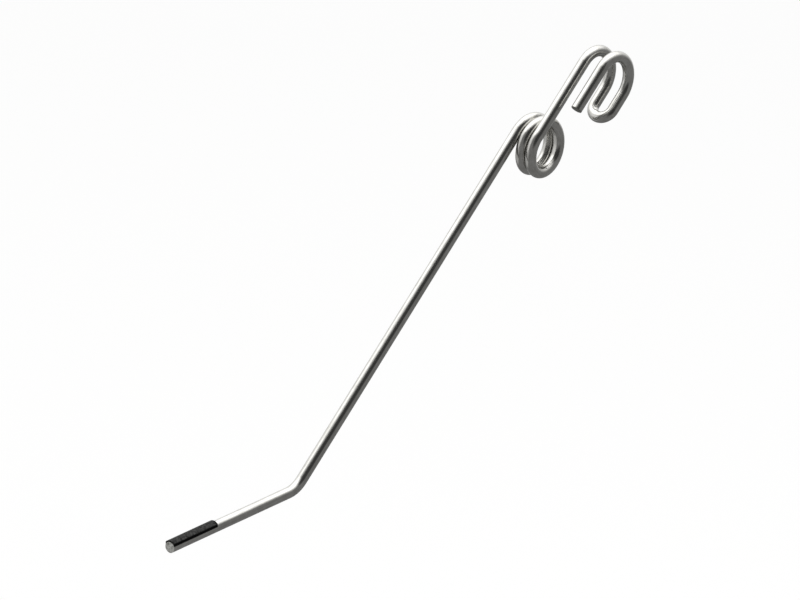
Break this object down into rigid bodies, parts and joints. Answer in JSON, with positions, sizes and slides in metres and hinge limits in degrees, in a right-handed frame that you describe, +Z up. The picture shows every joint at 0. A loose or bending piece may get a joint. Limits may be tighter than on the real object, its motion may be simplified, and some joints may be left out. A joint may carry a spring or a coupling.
{
  "type": "spring tine",
  "caption": "Coil-sprung wire tine with a double hook that goes over a carrier bar and a raised hard facing on its scraping tip.",
  "frame": {"origin": "on the axis of the carrier bar that the double hook goes over, midway between its two hooks", "axes": "+Y along the carrier bar and the coil's axis, from the wire's free end towards the shank; +X along the level toe, from the tip towards the bend; +Z up"},
  "size_m": [0.4457, 0.0414, 0.2467],
  "materials": {
    "spring_steel": "bright drawn spring wire",
    "hard_metal": "dark hard facing"
  },
  "bodies": {
    "root": {"spring_wire": "spring_steel", "hard_facing": "hard_metal"}
  },
  "joints": []
}
